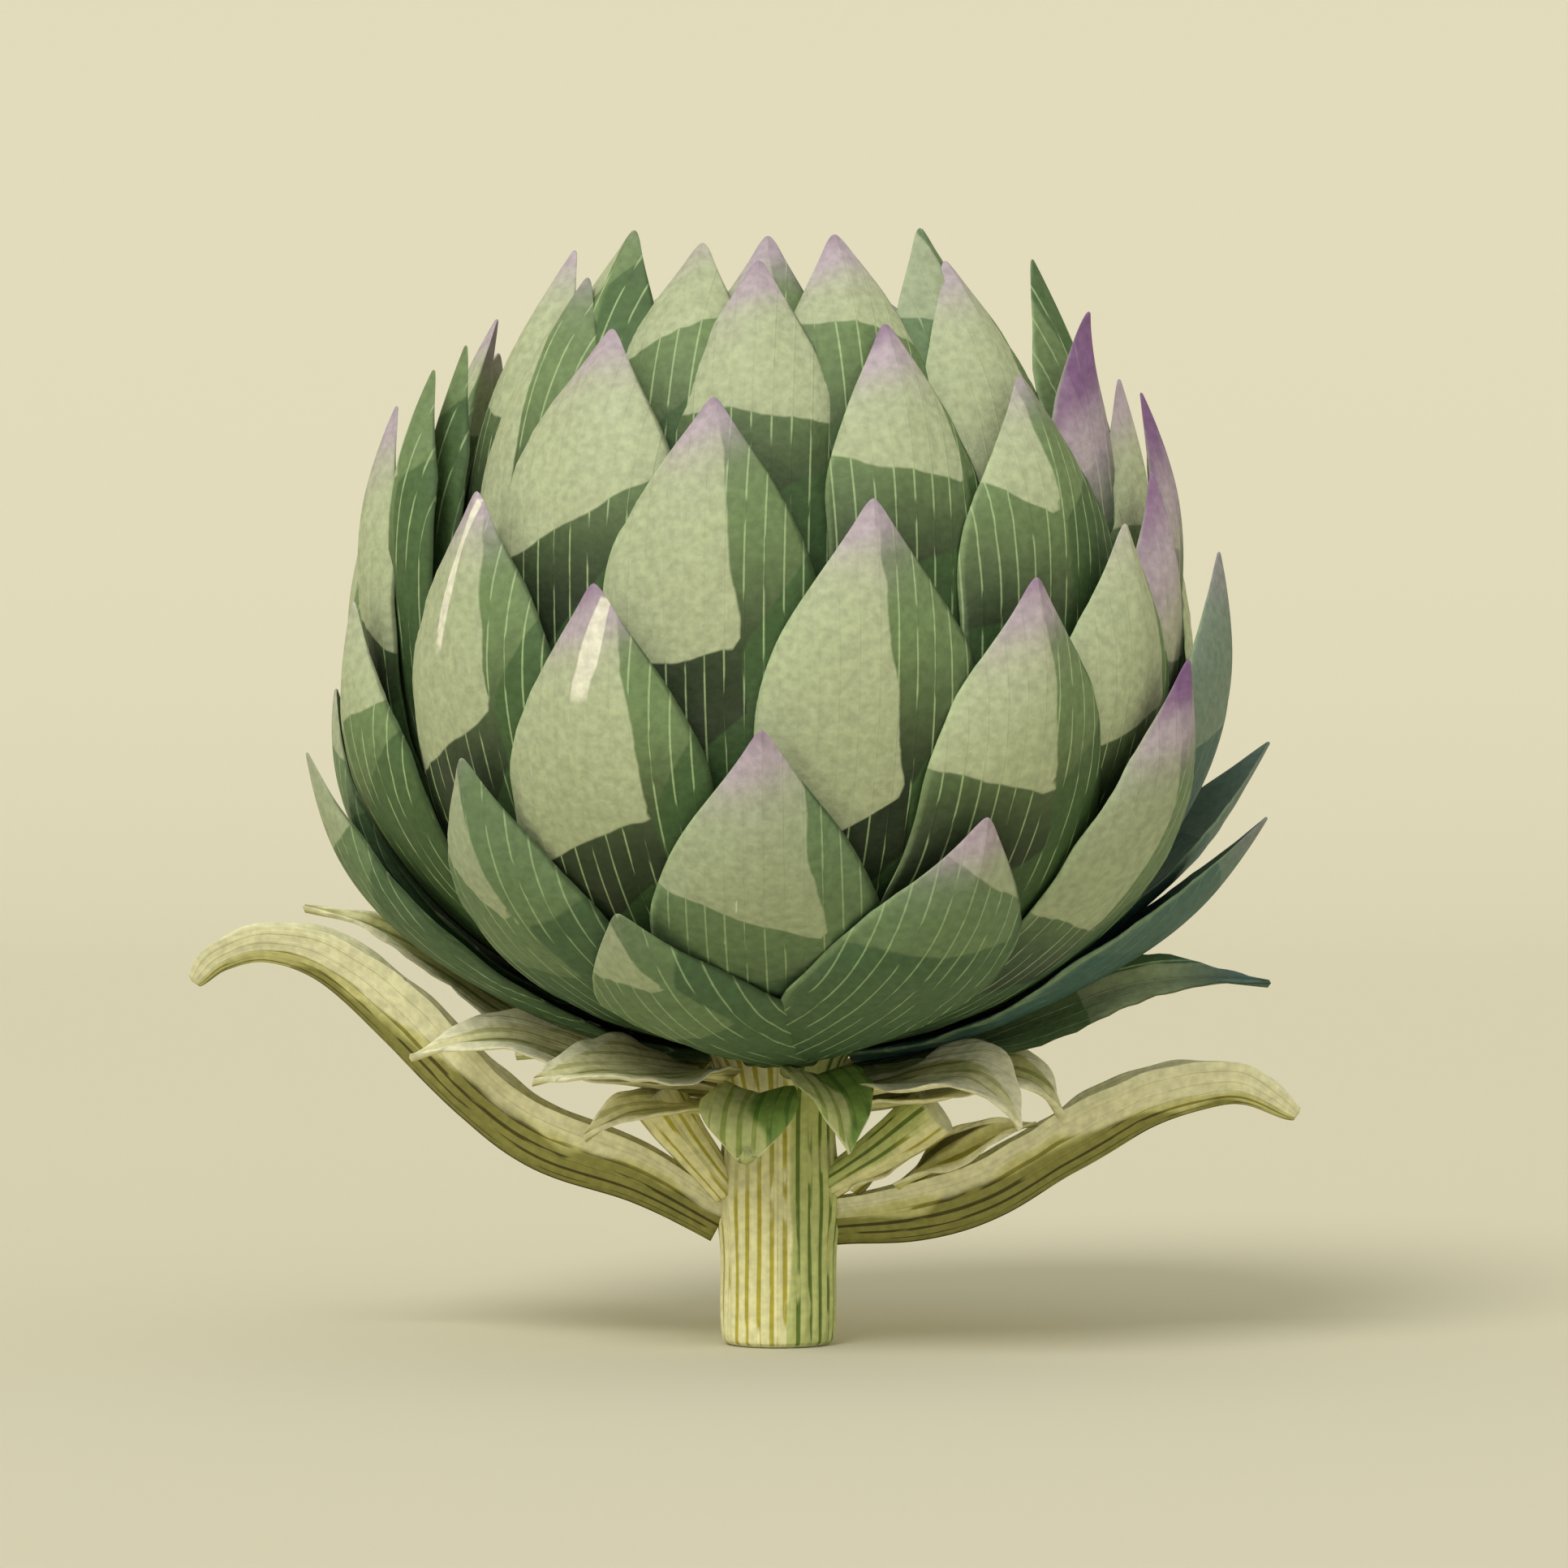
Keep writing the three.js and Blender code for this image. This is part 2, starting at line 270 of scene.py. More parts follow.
def bract_skin(colours):
    """The skin of an artichoke bract: green flesh under a dull grey-green bloom that lies in patches with
    crisp edges where light falls, so partly painted light, painted shade on the shaded side and deep between
    the bracts, painted highlight streaks, margins painted pale towards the light and dark away from it, thin
    pale veins that run the length of the bract, and lilac at some tips."""
    material, tree, shader = new_material("Artichoke bract skin with bloom, painted light and shade")
    paint = {key: linear(value) for key, value in colours.items()}
    bloom_and_light_mm, shade_mm, deep_shade, blush, tone, glint_mm, rim = (
        node(tree, ATTRIBUTE, attribute_name=key).outputs["Fac"]
        for key in ("bloom_and_light", "shade", "deep_shade", "blush", "tone", "glint", "rim")
    )
    place_mm = node(tree, "ShaderNodeUVMap", uv_map="skin_mm")
    lateral = node(tree, "ShaderNodeSeparateXYZ", place_mm)
    where = node(tree, "ShaderNodeTexCoord").outputs["Object"]
    # The edges of the patches wander by about 1 mm over 8 mm.
    drift = node(tree, NOISE, where, 120.0, 3.0)
    drift_mm = node(tree, MATH, drift, 1.6, -0.8, operation="MULTIPLY_ADD")
    # Cells of the skin, about 1.1 mm, drawn coarse enough to show.
    grain = node(tree, NOISE, where, 900.0, 2.0)
    # Slow changes of colour over about 25 mm.
    slow = node(tree, NOISE, where, 40.0, 2.0)
    # The pale patch: grey-green wax bloom laid where light falls on the left of each bract, so partly painted
    # light.
    bloom_and_light = node(tree, STEP, node(tree, MATH, bloom_and_light_mm, drift_mm, operation="ADD"), -0.18, 0.18, **CRISP)
    # The dark patch beside and below it: painted shade on the side away from the light.
    shade = node(tree, STEP, node(tree, MATH, shade_mm, drift_mm, operation="ADD"), -0.3, 0.3, **CRISP)

    # Veins 2.3 mm apart and 0.25 mm wide that fade in and out along their length.
    counted = node(tree, MATH, lateral, 1 / VEIN_SPACING, 0.5, operation="MULTIPLY_ADD")
    phase = node(tree, MATH, counted, operation="FRACT")
    from_line = node(tree, MATH, node(tree, MATH, phase, 0.5, operation="SUBTRACT"), operation="ABSOLUTE")
    line = node(tree, STEP, from_line, 0.025, 0.07, 1.0, 0.0, **CRISP)
    stretched = node(tree, "ShaderNodeMapping", place_mm, None, None, (0.9, 0.09, 1))
    patchy = node(tree, STEP, node(tree, NOISE, stretched, 1.0, 3.0), 0.43, 0.5, **CRISP)
    beside_bloom_and_light = node(tree, MATH, bloom_and_light, -0.92, 1.0, operation="MULTIPLY_ADD")
    vein = node(tree, MATH, node(tree, MATH, line, patchy, operation="MULTIPLY"), beside_bloom_and_light, operation="MULTIPLY")

    # Painted shade: nearly black deep down between the bracts, and dark green on the shaded side.
    flesh = node(tree, MIX, deep_shade, paint["flesh"], paint["deep_shade"], **COLOUR)
    dark = node(tree, MATH, shade, 0.8, operation="MULTIPLY")
    flesh = node(tree, MIX, dark, flesh, paint["shade"], **COLOUR)
    flesh = node(tree, MIX, node(tree, MATH, slow, 0.4, operation="MULTIPLY"), flesh, paint["moss"], **COLOUR)
    flesh = node(tree, MIX, node(tree, MATH, vein, 0.7, operation="MULTIPLY"), flesh, paint["vein"], **COLOUR)
    # The pale patch's colour: wax bloom and painted light, varying slowly between two greys.
    bloom_and_light_colour = node(tree, MIX, slow, paint["bloom_and_light"], paint["bloom_and_light_variant"], **COLOUR)
    colour = node(tree, MIX, node(tree, MATH, bloom_and_light, 0.93, operation="MULTIPLY"), flesh, bloom_and_light_colour, **COLOUR)
    colour = node(tree, MIX, tone, colour, paint["teal"], **COLOUR)
    # The tip's blush: pale lilac where it is thin, and purple where it is strong.
    uneven = node(tree, MATH, drift, 0.35, -0.17, operation="MULTIPLY_ADD")
    thin = node(tree, STEP, node(tree, MATH, blush, uneven, operation="ADD"), 0.0, 0.8, 0.0, 0.8, **CRISP)
    strong = node(tree, STEP, blush, 0.8, 1.9, **CRISP)
    lilac = node(tree, MIX, strong, paint["lilac"], paint["purple"], **COLOUR)
    colour = node(tree, MIX, thin, colour, lilac, **COLOUR)
    # Painted highlights: pale streaks where light glints on the waxy skin.
    glint_with_drift = node(tree, MATH, drift_mm, 0.35, glint_mm, operation="MULTIPLY_ADD")
    glint = node(tree, STEP, glint_with_drift, -0.1, 0.1, 0.0, 0.85, **CRISP)
    colour = node(tree, MIX, glint, colour, paint["glint"], **COLOUR)
    # Painted light and shade on the margins: pale on the left, towards the light, and dark on the right.
    painted_lit_margin = node(tree, STEP, rim, 0.0, -1.0, 0.0, 0.35)
    painted_shade_margin = node(tree, STEP, rim, 0.0, 1.0, 0.0, 0.75)
    colour = node(tree, MIX, painted_lit_margin, colour, paint["vein"], **COLOUR)
    colour = node(tree, MIX, painted_shade_margin, colour, paint["rim"], **COLOUR)
    finish_skin(tree, shader, colour, grain, line, 0.1, 0.62)
    return material


def rib_skin(name, colours, ribs, roughness):
    """Ribbed stalk skin: cream-green flesh with darker ribs that run its length and fade in and out, and a
    pale pith where the field `pith` is 1. `ribs` is how many run round it. The field `side` is 1 on the side
    away from the light, where the flesh and ribs take their darker colours as painted shade, and `dry` is 1
    where the margin is pale and dry."""
    material, tree, shader = new_material(name)
    paint = {key: linear(value) for key, value in colours.items()}
    side_share, dry_share, pith = (
        node(tree, ATTRIBUTE, attribute_name=key).outputs["Fac"] for key in ("side", "dry", "pith")
    )
    place_mm = node(tree, "ShaderNodeUVMap", uv_map="skin_mm")
    across = node(tree, "ShaderNodeSeparateXYZ", place_mm)
    where = node(tree, "ShaderNodeTexCoord").outputs["Object"]
    grain = node(tree, NOISE, where, 900.0, 2.0)
    # Changes of colour over about 11 mm, which also bend the edges of the shaded and the dry parts.
    slow = node(tree, NOISE, where, 90.0, 2.0)
    drift = node(tree, MATH, slow, 0.8, -0.4, operation="MULTIPLY_ADD")
    phase = node(tree, MATH, node(tree, MATH, across, float(ribs), operation="MULTIPLY"), operation="FRACT")
    from_line = node(tree, MATH, node(tree, MATH, phase, 0.5, operation="SUBTRACT"), operation="ABSOLUTE")
    line = node(tree, STEP, from_line, 0.12, 0.21, 1.0, 0.0, **CRISP)
    scaled = node(tree, "ShaderNodeMapping", place_mm, None, None, (float(ribs), 0.11, 1))
    patchy = node(tree, STEP, node(tree, NOISE, scaled, 1.0, 2.0), 0.40, 0.48, **CRISP)
    side = node(tree, STEP, node(tree, MATH, side_share, drift, operation="ADD"), 0.42, 0.58, **CRISP)
    dry = node(tree, STEP, node(tree, MATH, dry_share, drift, operation="ADD"), 0.4, 0.6, 0.0, 0.85, **CRISP)
    # Painted shade: darker flesh and ribs on the side away from the light.
    flesh = node(tree, MIX, side, paint["flesh"], paint["shade"], **COLOUR)
    ribbing = node(tree, MIX, side, paint["rib"], paint["rib_shade"], **COLOUR)
    seen = node(tree, MATH, dry, -0.95, 0.95, operation="MULTIPLY_ADD")
    rib = node(tree, MATH, node(tree, MATH, line, patchy, operation="MULTIPLY"), seen, operation="MULTIPLY")
    colour = node(tree, MIX, rib, flesh, ribbing, **COLOUR)
    pale = node(tree, MIX, slow, paint["dry"], paint["dry_shade"], **COLOUR)
    colour = node(tree, MIX, dry, colour, pale, **COLOUR)
    colour = node(tree, MIX, pith, colour, paint["pith"], **COLOUR)
    finish_skin(tree, shader, colour, grain, line, 0.25, roughness)
    return material


# The bracts: mid green flesh under a pale grey-green wax that is laid where light falls, so partly painted
# light, with painted shade that is dark green on the shaded side and nearly black deep between them
BRACT_COLOURS = {
    "flesh": "#748a59",
    "deep_shade": "#141d12",
    "shade": "#3a5a2e",
    "moss": "#5c7242",
    "vein": "#b0c78e",
    "bloom_and_light": "#bcc39a",
    "bloom_and_light_variant": "#abb58b",
    "teal": "#3b6061",
    "lilac": "#b5a0b0",
    "purple": "#84508c",
    "glint": "#eeead2",
    "rim": "#2f401d",
}
# The stem and the young stalks: cream-yellow flesh between olive ribs, with greener painted shade on the side
# away from the light
STEM_COLOURS = {
    "flesh": "#ebe6ae",
    "shade": "#c0c77c",
    "rib": "#b3a628",
    "rib_shade": "#5d7325",
    "dry": "#cdc9a2",
    "dry_shade": "#b5b283",
    "pith": "#d5d6ae",
}
# The long leaves: straw-coloured stalks with brown-olive ribs, whose edges have dried to cream
LEAF_COLOURS = {
    "flesh": "#cdc985",
    "shade": "#8f8c48",
    "rib": "#857f2a",
    "rib_shade": "#453f14",
    "dry": "#f0ecc6",
    "dry_shade": "#dfdbac",
    "pith": "#d5d6ae",
}
# The collar leaves: thin, and dry to cream at the edges
COLLAR_COLOURS = {
    "flesh": "#e2dda6",
    "shade": "#bdbb7a",
    "rib": "#bfbc7f",
    "rib_shade": "#8f9050",
    "dry": "#f6f2d2",
    "dry_shade": "#e8e3b8",
    "pith": "#d5d6ae",
}
# The two youngest collar leaves, which are still green
YOUNG_COLLAR_COLOURS = {
    "flesh": "#b9bf7c",
    "shade": "#74903f",
    "rib": "#8f9c4a",
    "rib_shade": "#55752c",
    "dry": "#d9dbb0",
    "dry_shade": "#c3c894",
    "pith": "#d5d6ae",
}

# ---------------------------------------------------------------- bracts


def tip_of(name):
    """(azimuth in degrees, radius, height) of the highest point of a solid, in millimetres."""
    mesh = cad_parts[name].data
    co = np.empty(len(mesh.vertices) * 3, np.float32)
    mesh.vertices.foreach_get("co", co)
    x, y, z = co.reshape(-1, 3)[co.reshape(-1, 3)[:, 2].argmax()] / MM
    return math.degrees(math.atan2(x, -y)), math.hypot(x, y), z


def bract(name, azimuth, height, layer, flare, look, sizes):
    """One bract. Along its layer line its half width is w = W sin(pi/2 min(1, d/taper))^1.2 plus a small
    round tip, where d is the distance to the tip. The section bulges as B (1 - u^2) and has a keel as
    K (1 - |u|)^1.4, both flat at the tip as 1 - e^(-d/2.5), and it is T sqrt(1 - u^4) thick, where u is
    the place across it."""
    seed = look["seed"]
    line = layer_line(layer, height, flare, look["flare_share"])
    shares = 1 - (1 - np.linspace(0, 1, ALONG + 1)) ** 1.5
    line, length = resample(line, shares)
    d = ((1 - shares) * length)[:, None]
    wide = look["width"] * sizes.bract_half_width
    half = wide * np.sin(np.clip(d / look["taper"], 0, 1) * math.pi / 2) ** 1.2
    q = np.clip(d / 1.8, 0, 1)
    half = half + 0.7 * np.sqrt(2 * q - q * q)
    half = np.minimum(half, look["wrap"] * line[:, :1])
    half *= 1 - 0.25 * smooth(d, 30, 90)
    u, face = ring_across(ACROSS)
    x = u * half * (1 + 0.04 * wander(d / 9 + 3 * u, seed))
    bulge = 1.5 * np.exp(-(((d - 19) / 15) ** 2))
    keel = look["keel"] * np.exp(-(((d - 9) / 13) ** 2))
    thick = (0.35 + 1.1 * smooth(d, 0, 30)) * look["thickness"]
    curl = look["curl"] * np.exp(-d / 4.5)
    edge = 0.5 * np.abs(u) ** 3 * smooth(d, 4, 14) * (1 + wander(d / 6 + 2 * u, seed + 7))
    ripple = 0.10 * np.cos(2 * math.pi * x / VEIN_SPACING) * smooth(d, 5, 14)
    out = (bulge * (1 - u * u) + keel * (1 - np.abs(u)) ** 1.4) * (1 - np.exp(-d / 2.5)) + curl - 0.8 * edge
    out = out + face * (thick / 2) * np.sqrt(1 - np.clip(u, -1, 1) ** 4) + (face > 0) * ripple
    lean = look["lean"] * smooth(d, 0, length)
    rings = place(line, azimuth, x + lean, out, 1.0)

    right = look["right"] + look["spread"] * (d - 12) + 0.5 * wander(d / 7, seed)
    low = look["low"] + look["slope"] * x + 0.6 * wander(x / 5, seed + 1)
    # The bloom field marks the wax bloom where light falls on the face, partly painted light. The shade and
    # deep fields are painted shade, on the side away from the light and deep between the bracts. The glint
    # field is a painted highlight, and the rim field paints the margins pale towards the light and dark away
    # from it.
    fields = {
        "bloom_and_light": np.where(face > 0, np.minimum(right - x, low - d), 15 - d),
        "shade": np.maximum(np.minimum(x - right - 0.4, d - low + 1.1 * (x - right)), d - low - 11 + 0.6 * x),
        "deep_shade": smooth(d, look["deep_shade"], look["deep_shade"] + 22),
        "blush": look["blush"] * 1.5 * np.exp(-((d / look["blush_reach"]) ** 1.4)) * (1 - 0.10 * x),
        "tone": look["tone"],
        "glint": NOWHERE,
        "rim": np.sign(u) * smooth(np.abs(u), 0.92, 0.99) * smooth(d, 2, 8) * (face > 0),
    }
    if "glint" in look:
        centre, start, end, half_streak = look["glint"]
        along = 0.4 * np.minimum(d - start, (end - d) * 0.3)
        from_middle = np.abs(x - centre + 0.24 * (d - start))
        widening = 0.5 + 0.5 * smooth(d, start, 0.7 * end)
        fields["glint"] = np.minimum(half_streak * widening - from_middle, along)
    return leaf_skin(name, rings, (x, d), fields)


# What every bract is like. Lengths are in millimetres. `width` is a share of the greatest width, which is
# `taper` below the tip. `wrap` is the most that the bract may reach round the axis to each side, in radians.
# `lean` is how far its base lies to the side of its tip. `spread` widens the pale patch of bloom and painted
# light downwards, the deep shade setting is how far below the tip the painted shade between the bracts
# begins, and
# `tone` is how blue-green it is.
PLAIN_LOOK = {
    "width": 1.0,
    "taper": 26.0,
    "wrap": 0.37,
    "thickness": 1.0,
    "keel": 1.1,
    "lean": 0.0,
    "flare_share": FLARE_SHARE,
    "spread": 0.12,
    "blush_reach": 5.5,
    "tone": 0.0,
    "deep_shade": 13,
}
# The two lowest layers, the young bracts and the heart's bracts
LOW_LOOK = {"tone": 0.15, "deep_shade": 26}
YOUNG_LOOK = {"width": 0.72, "taper": 23.0, "flare_share": 0.72}
HEART_LOOK = {"thickness": 0.6, "curl": 0.2, "keel": 0.5, "wrap": 0.8}

# How the bracts on the side towards the front differ from the rest: `right` and `low` are where the pale
# patch of bloom and painted light ends beside and below the tip, `slope` tilts its lower end, `blush` is how
# lilac the tip is and `blush_reach` how far down, and `glint` is a painted highlight streak (centre, start,
# end, half width).
LOOKS = {
    "bract_1_1": {"right": 2.5, "spread": 0.4, "low": 12, "slope": 0.1, "blush": 0.1, "lean": 6},
    "bract_1_2": {"right": 9.0, "low": 7, "slope": 0.6, "blush": 0.75, "lean": -6},
    "bract_1_3": {"tone": 0.75, "blush": 0.2, "low": 10},
    "bract_2_1": {"right": 0.5, "low": 20, "slope": 0.9, "blush": 0.15, "width": 0.9},
    "bract_2_2": {"right": 5.5, "low": 25, "slope": 0.35, "blush": 0.9, "glint": (-3.0, 21, 28, 0.4)},
    "bract_2_3": {"right": -1.0, "low": 36, "slope": 0.2, "blush": 1.7, "blush_reach": 7, "width": 0.9},
    "bract_2_4": {"tone": 0.8, "blush": 0.1},
    "bract_3_1": {"right": 4.0, "low": 30, "slope": -0.4, "blush": 1.05, "glint": (1.6, 1.6, 13, 1.3)},
    "bract_3_2": {"right": 1.5, "low": 25, "slope": 0.2, "blush": 1.0},
    "bract_3_3": {"tone": 0.65, "blush": 0.3},
    "bract_4_1": {"right": 3.0, "low": 28, "slope": -0.5, "blush": 0.7, "glint": (0.8, 1, 19, 0.8)},
    "bract_4_2": {"right": 1.0, "low": 38, "slope": -0.6, "blush": 0.75},
    "bract_5_1": {"right": 2.0, "low": 31, "slope": -0.2, "blush": 0.85},
    "bract_5_2": {"right": 6.0, "low": 22, "blush": 1.2, "blush_reach": 12, "width": 0.75},
    "bract_1_7": {"right": 12.0, "low": 12, "slope": -0.3, "blush": 0.1},
    "bract_2_7": {"right": 12.0, "low": 7, "blush": 0.2},
    "bract_3_7": {"right": 12.0, "low": 15, "slope": -0.4, "blush": 0.2},
    "bract_5_6": {"right": 12.0, "low": 26, "width": 0.62, "blush": 0.8, "blush_reach": 7},
    "bract_6_1": {"right": 12.0, "low": 24, "slope": -0.5, "blush": 0.8},
    "bract_6_2": {"right": -0.5, "low": 18, "blush": 0.35},
    "bract_6_3": {"right": -2.0, "blush": 1.5, "blush_reach": 12, "width": 0.6},
    "bract_6_7": {"right": 0.0, "low": 14, "width": 0.6, "blush": 0.1},
    "inner_bract_1": {"right": 6.0, "low": 19, "slope": 0.2, "blush": 1.1},
    "inner_bract_2": {"right": -1.0, "low": 10, "width": 0.5, "blush": 0.1},
    "inner_bract_3": {"right": -3.0, "blush": 2.0, "blush_reach": 12, "width": 0.66},
    "inner_bract_4": {"right": 9.0, "low": 21, "slope": 0.1, "blush": 0.9},
    "inner_bract_6": {"right": -1.5, "spread": 0.05, "low": 45, "blush": 0.3},
    "inner_bract_7": {"right": 9.0, "low": 13, "slope": -0.5, "blush": 0.3},
    "inner_bract_8": {"right": 9.0, "low": 14, "slope": 0.2, "blush": 0.9},
    "inner_bract_9": {"right": 0.5, "low": 9, "slope": -0.6, "blush": 0.1},
    "inner_bract_12": {"right": 1.0, "low": 14, "blush": 0.1, "tone": 0.2},
    "inner_bract_13": {"right": -3.0, "low": 4, "blush": 0.1},
}

# The young bracts: azimuth in degrees, height of the tip, layer, and how far the tip bends outwards.
YOUNG_BRACTS = [
    (21, 125.5, 6.0, 0), (-76, 123, 6.6, 3), (64, 127.5, 6.3, 7.5), (-4.5, 133, 7.0, 1.5),
    (45, 133, 7.5, 2), (-48, 130.7, 7.1, 1), (-20, 135.1, 7.8, 3), (16, 136.2, 7.8, 2.5),
    (-43, 136.7, 8.2, 5), (-62, 134.5, 8.0, 4.5), (-3, 135.8, 8.9, 4), (42, 137.3, 8.4, 7),
    (74, 133.5, 7.3, 5.5), (74, 119, 5.7, 3), (118, 122, 6.2, 1), (150, 127, 6.7, 1),
    (185, 125, 6.3, 0), (215, 128, 6.9, 1), (248, 122, 6.2, 1), (135, 129, 7.6, 2),
    (170, 131, 7.9, 3), (205, 130, 7.8, 2), (235, 130, 7.8, 3), (262, 126, 7.2, 2),
    (105, 127, 7.6, 2),
]


def heart_bracts():
    """The innermost bracts, which close over the middle: each 137.5 degrees round from the last, a little
    deeper, and with its tip 0.8 mm nearer to the axis, until the tips meet."""
    bracts = []
    for i in range(HEART_BRACTS):
        layer, radius = 10.2 + 0.19 * i, max(24.5 - 0.8 * i, 0.8)
        inset = layer * LAYER_STEP
        height = HEAD_WAIST + (HEAD_RISE - inset) * math.sqrt(1 - (radius / (HEAD_RADIUS - inset)) ** 2)
        bracts.append((GOLDEN_ANGLE * i + 20, height, layer, 0.0))
    return bracts


def look_of(name, seed, kind):
    """The look of one bract: what its kind is like, seeded differences, and its own where it has them."""
    rng = np.random.default_rng(seed)
    look = {
        "seed": seed,
        "right": rng.uniform(0, 7),
        "low": rng.uniform(16, 28),
        "slope": rng.uniform(-0.5, 0.5),
        "blush": rng.uniform(0.2, 1.0),
        "curl": rng.uniform(0.5, 1.4),
    }
    return {**PLAIN_LOOK, **kind, **look, **LOOKS.get(name, {})}


# ---------------------------------------------------------------- stem, stalks and leaves


# The stem and the heart, from the cut end up: (radius, height)
STEM_PROFILE = [
    (5.9, 0), (6.5, 0.35), (6.9, 1.3), (6.95, 6), (6.75, 14), (6.8, 24), (7.0, 30), (8.2, 34.5),
    (10, 37), (16, 42), (22, 47), (26.5, 52), (28.6, 57), (28, 60.5), (22, 63),
]
HEART_TOP = 67.0
# Half width in millimetres, roll in degrees and how dry, of each collar leaf in the order of the solids
COLLAR_LEAVES = [
    (5.6, 38, 0.0), (6.5, 32, 0.3), (7.0, 24, 0.1), (4.2, 20, -0.1), (6.4, 0, -0.25),
    (5.2, 0, -0.25), (9.0, -18, 0.35), (8.0, -24, 0.05), (6.4, -40, 0.0), (7.0, 0, 0.1),
    (7.0, 0, 0.0), (7.0, 0, 0.1), (7.0, 0, 0.0),
]
# The collar leaf that is skinned like a bract, and the two young ones in front of the stem
GREEN_LEAF, YOUNG_LEAVES = 9, (5, 6)
# The azimuth, the middle line from the stem outwards as (radius, height), and the seed
LONG_LEAVES = {
    "left_stem_leaf": (-92, [
        (6.6, 16), (17, 21.5), (29, 25.5), (37, 31), (46, 40), (55, 47.3), (63, 49.6), (69, 48), (72.5, 44.7),
    ], 61),
    "right_stem_leaf": (90, [
        (6.6, 16), (17, 17), (26, 19.5), (35, 24.6), (44, 29.7), (52, 32), (58, 32), (64.3, 28.6),
    ], 67),
}
CUT_STALKS = {
    "left_cut_stalk": (-80, [(6.3, 19), (9.4, 22.8), (12.6, 27), (15.6, 31.5)], 71),
    "right_cut_stalk": (78, [(6.3, 20), (9.2, 21.8), (13.5, 24.6), (19.8, 29.3)], 73),
}
# The lobes on the upper side of the right leaf's stalk: middle line and half width
LOBES = [
    ([(9.5, 19), (13, 22.5), (18.5, 25)], 2.4),
    ([(15, 19.5), (21, 23.6), (27, 26.6), (32, 27.6)], 2.8),
]


def stem_and_heart():
    """A solid of revolution about Z. Its radius is the profile's, with ribs as h cos(N angle) along the
    stem that fade out at the cut end and on the heart."""
    profile = curve_through(STEM_PROFILE, 150)
    angle = np.linspace(0, 2 * math.pi, 260, endpoint=False)[None]
    r, z = profile[:, :1], profile[:, 1:]
    ribs = 0.16 * np.cos(STEM_RIBS * angle) * smooth(z, 0.3, 2.5) * (1 - smooth(z, 30, 40))
    lumps = 0.22 * wander(2 * angle + z / 16, 5) * smooth(z, 0.3, 6) * (1 - smooth(z, 30, 40))
    # A slight swelling where the leaves and stalks leave the stem.
    joint = 0.8 * np.abs(np.sin(angle)) ** 3 * np.exp(-(((z - 18) / 5.5) ** 2))
    radius = r + ribs + lumps + joint
    rings = np.stack([radius * np.sin(angle), -radius * np.cos(angle), z * np.ones_like(angle)], axis=2)
    # The side field is painted shade on the right of the stem, away from the light.
    fields = {
        "side": smooth(np.sin(angle), -0.1, 0.5),
        "dry": 0.42 * smooth(z, 1, 20) * (1 - smooth(z, 24, 30)),
        "pith": 1 - smooth(z, 0.05, 0.5),
    }
    turns = angle / (2 * math.pi)
    return skin("stem", rings, np.array([0, 0, HEART_TOP]), np.zeros(3), (turns, z), fields)


def midline(name):
    """(azimuth, points) of a leaf's solid: the (radius, height) of the middle of each of its sections, from
    base to tip. The points in the plane of the tip come in pairs, one on each face."""
    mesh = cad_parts[name].data
    co = np.empty(len(mesh.vertices) * 3, np.float32)
    mesh.vertices.foreach_get("co", co)
    points = np.unique(np.round(co.reshape(-1, 3) / MM, 3), axis=0)
    tip = points[np.hypot(points[:, 0], points[:, 1]).argmax()]
    face = math.atan2(tip[0], -tip[1])
    across = points[:, 0] * math.cos(face) + points[:, 1] * math.sin(face)
    plane = points[np.abs(across) < 0.02]
    line = np.stack([plane[:, 0] * math.sin(face) - plane[:, 1] * math.cos(face), plane[:, 2]], axis=1)
    line = line[np.argsort(-np.hypot(*(line - line[np.argmax(line[:, 0])]).T))]
    pairs = line[: len(line) // 2 * 2].reshape(-1, 2, 2).mean(axis=1)
    return math.degrees(face), np.vstack([pairs, line[-1:]])


def small_leaf(name, azimuth, points, half_width, roll, seed, tone, fields_of=None):
    """A small leaf on a line of (radius, height) points. Its half width is W sin(pi/2 min(1, d/0.62 L))^1.2,
    its section is cupped as C u^2 and rolls about the line by `roll` degrees, and its edges wave."""
    shares = 1 - (1 - np.linspace(0, 1, 41)) ** 1.4
    line, length = resample(curve_through(points), shares)
    d = ((1 - shares) * length)[:, None]
    u, face = ring_across(18)
    half = half_width * np.sin(np.clip(d / (0.62 * length), 0, 1) * math.pi / 2) ** 1.2
    half = np.minimum(half, 0.34 * line[:, :1] + 0.6)
    x = u * half * (1 + 0.07 * wander(d / 3 + 3 * u, seed))
    wave = 0.5 * np.abs(u) ** 2 * wander(d / 2.8 + 2 * u, seed + 3)
    cup = -0.198 * half * u * u
    keel = 0.5 * (1 - np.abs(u)) ** 3
    out = cup + wave + keel + face * 0.42 * np.sqrt(1 - np.clip(u, -1, 1) ** 4)
    turn = math.radians(roll) * smooth(1 - d / length, 0.0, 0.5)
    sideways = x * np.cos(turn) - out * np.sin(turn)
    rings = place(line, azimuth, sideways, out * np.cos(turn) + x * np.sin(turn), 0.7)
    if fields_of:
        return leaf_skin(name, rings, (x, d), fields_of(x, d, u))
    # Painted shade on the half of the leaf where x is larger.
    side = 0.5 + 0.9 * (x - 0.5) / half_width + 0.5 * wander(d / 8, seed + 5)
    fields = {
        "side": np.clip(side, 0, 1),
        "dry": smooth(np.abs(u) + 0.5 * (1 - d / length) + tone, 0.75, 1.35),
        "pith": 0,
    }
    return leaf_skin(name, rings, (x / 30, d), fields)


